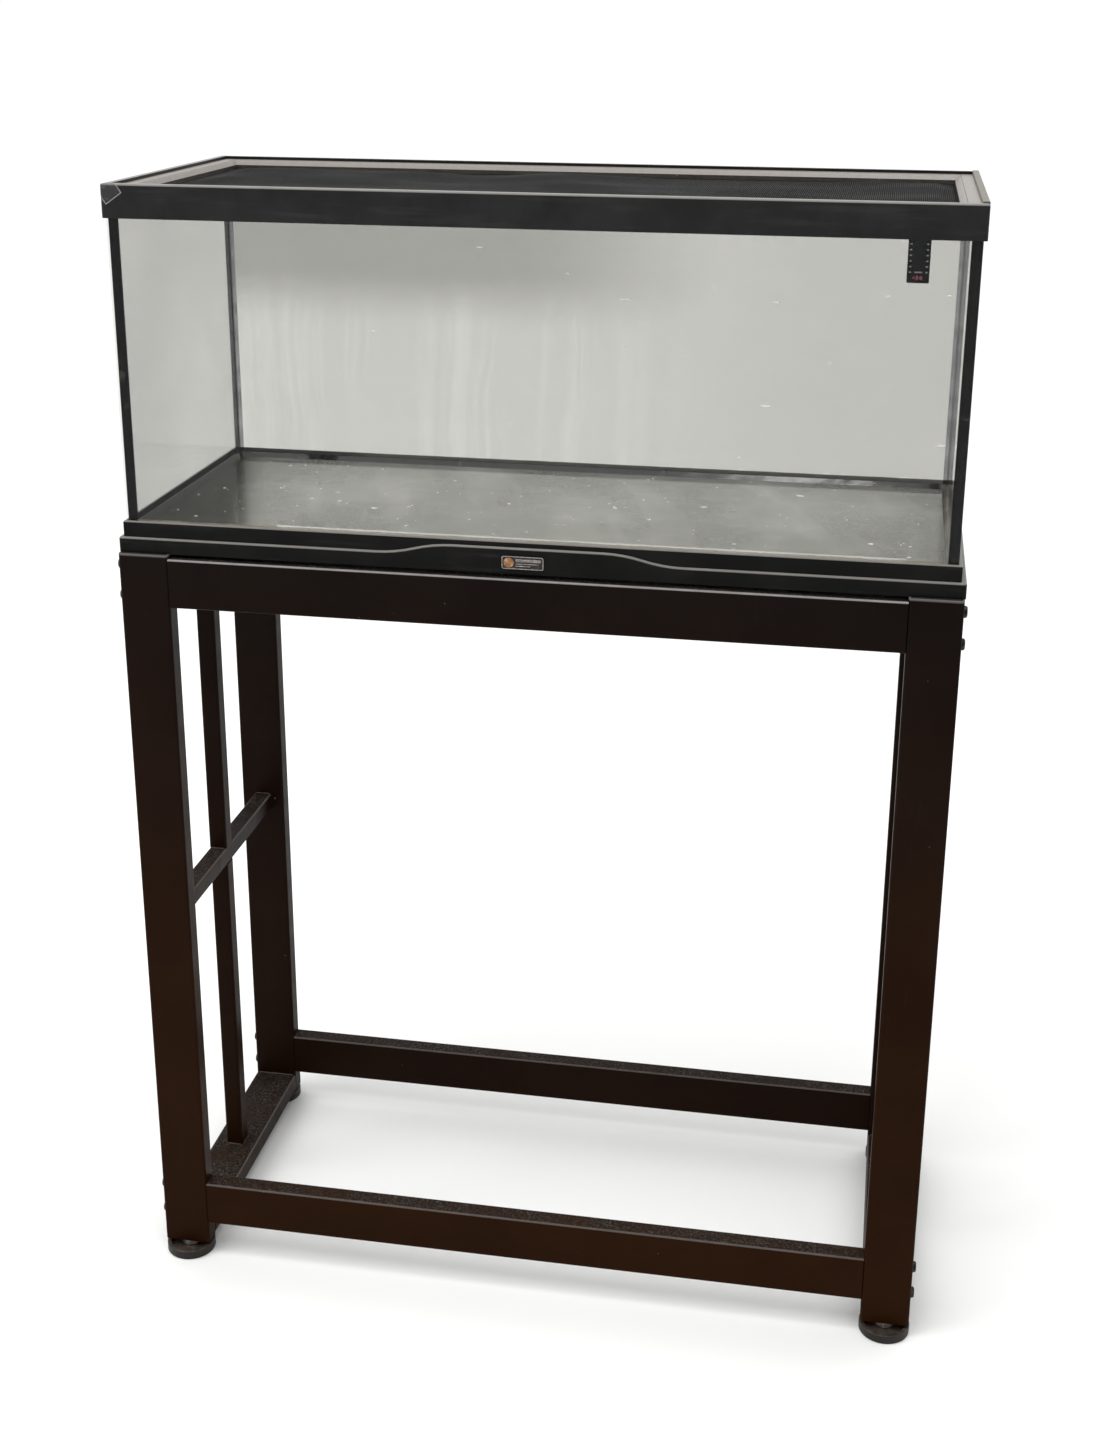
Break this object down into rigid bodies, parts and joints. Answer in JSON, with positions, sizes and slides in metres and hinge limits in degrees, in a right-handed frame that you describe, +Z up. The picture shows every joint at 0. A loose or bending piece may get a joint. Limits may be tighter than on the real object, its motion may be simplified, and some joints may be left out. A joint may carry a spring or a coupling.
{
  "type": "aquarium on stand",
  "caption": "Long low glass tank with black moulded frames and a sliding mesh screen top, on an open black steel tube stand with side lattices and levelling feet.",
  "frame": {"origin": "on the floor, at the middle of the stand's footprint", "axes": "+X to the right seen from the front, towards the end where the screen slides out; +Y from the front to the back; +Z up"},
  "size_m": [0.7824, 0.351, 1.1072],
  "materials": {
    "clear_glass": "clear float glass, dusty and streaked",
    "powder_coat": "satin black powder coat",
    "nylon": "moulded",
    "plain_steel": "machined",
    "black_bolt": "black oxide",
    "foot_plastic": "moulded black plastic, worn rim",
    "zinc_steel": "bright zinc plate",
    "frame_plastic": "semi-gloss moulded",
    "black_silicone": "glossy cured silicone",
    "badge_metal": "worn metal with a dark recess",
    "badge_copper": "dull copper",
    "strip_film": "glossy printed film",
    "screen_black": "semi-gloss black extrusion",
    "mesh_wire": "woven black wire cloth",
    "spline_rubber": "matt"
  },
  "bodies": {
    "stand": {"frame_bolts": "black_bolt", "lattice_crossbar_left": "powder_coat", "lattice_crossbar_right": "powder_coat", "lattice_upright_lower_left": "powder_coat", "lattice_upright_lower_right": "powder_coat", "lattice_upright_upper_left": "powder_coat", "lattice_upright_upper_right": "powder_coat", "leg_back_left": "powder_coat", "leg_back_right": "powder_coat", "leg_foot_plugs": "nylon", "leg_front_left": "powder_coat", "leg_front_right": "powder_coat", "leg_top_caps": "powder_coat", "rail_bottom_back": "powder_coat", "rail_bottom_front": "powder_coat", "rail_end_blocks": "plain_steel", "rail_top_back": "powder_coat", "rail_top_front": "powder_coat", "side_rail_bottom_left": "powder_coat", "side_rail_bottom_right": "powder_coat", "side_rail_top_left": "powder_coat", "side_rail_top_right": "powder_coat"},
    "tank": {"badge_boss": "badge_copper", "badge_plate": "badge_metal", "bottom_frame": "frame_plastic", "glass_back": "clear_glass", "glass_floor": "clear_glass", "glass_front": "clear_glass", "glass_left": "clear_glass", "glass_right": "clear_glass", "silicone_corner_seams": "black_silicone", "silicone_floor_seal": "black_silicone", "thermometer_strip": "strip_film", "top_frame": "frame_plastic"},
    "screen": {"screen_corner_keys": "nylon", "screen_mesh": "mesh_wire", "screen_pull_strip": "screen_black", "screen_rail_back": "screen_black", "screen_rail_front": "screen_black", "screen_rail_left": "screen_black", "screen_rail_right": "screen_black", "screen_spline": "spline_rubber"},
    "foot_front_left": {"foot_pad_front_left": "foot_plastic"},
    "stem_front_left": {"foot_stem_front_left": "zinc_steel"},
    "foot_front_right": {"foot_pad_front_right": "foot_plastic"},
    "stem_front_right": {"foot_stem_front_right": "zinc_steel"},
    "foot_back_left": {"foot_pad_back_left": "foot_plastic"},
    "stem_back_left": {"foot_stem_back_left": "zinc_steel"},
    "foot_back_right": {"foot_pad_back_right": "foot_plastic"},
    "stem_back_right": {"foot_stem_back_right": "zinc_steel"}
  },
  "joints": [
    {"name": "tank_lift", "type": "slide", "parent": "stand", "child": "tank", "axis": [0, 0, 1], "range_m": [0, 0.06]},
    {"name": "screen_slide", "type": "slide", "parent": "tank", "child": "screen", "axis": [1, 0, 0], "range_m": [0, 0.77]},
    {"name": "foot_travel_front_left", "type": "slide", "parent": "stand", "child": "foot_front_left", "axis": [0, 0, -1], "range_m": [0, 0.015]},
    {"name": "stem_turn_front_left", "type": "hinge", "parent": "foot_front_left", "child": "stem_front_left", "pos_m": [-0.364, -0.1505, 0.02], "axis": [0, 0, -1], "range_deg": [0, 4320]},
    {"name": "foot_travel_front_right", "type": "slide", "parent": "stand", "child": "foot_front_right", "axis": [0, 0, -1], "range_m": [0, 0.015]},
    {"name": "stem_turn_front_right", "type": "hinge", "parent": "foot_front_right", "child": "stem_front_right", "pos_m": [0.364, -0.1505, 0.02], "axis": [0, 0, -1], "range_deg": [0, 4320]},
    {"name": "foot_travel_back_left", "type": "slide", "parent": "stand", "child": "foot_back_left", "axis": [0, 0, -1], "range_m": [0, 0.015]},
    {"name": "stem_turn_back_left", "type": "hinge", "parent": "foot_back_left", "child": "stem_back_left", "pos_m": [-0.364, 0.1505, 0.02], "axis": [0, 0, -1], "range_deg": [0, 4320]},
    {"name": "foot_travel_back_right", "type": "slide", "parent": "stand", "child": "foot_back_right", "axis": [0, 0, -1], "range_m": [0, 0.015]},
    {"name": "stem_turn_back_right", "type": "hinge", "parent": "foot_back_right", "child": "stem_back_right", "pos_m": [0.364, 0.1505, 0.02], "axis": [0, 0, -1], "range_deg": [0, 4320]}
  ],
  "couplings": [
    {"joint": "stem_turn_front_left", "follows": "foot_travel_front_left", "rad_per_m": 5026.5},
    {"joint": "stem_turn_front_right", "follows": "foot_travel_front_right", "rad_per_m": 5026.5},
    {"joint": "stem_turn_back_left", "follows": "foot_travel_back_left", "rad_per_m": 5026.5},
    {"joint": "stem_turn_back_right", "follows": "foot_travel_back_right", "rad_per_m": 5026.5}
  ]
}
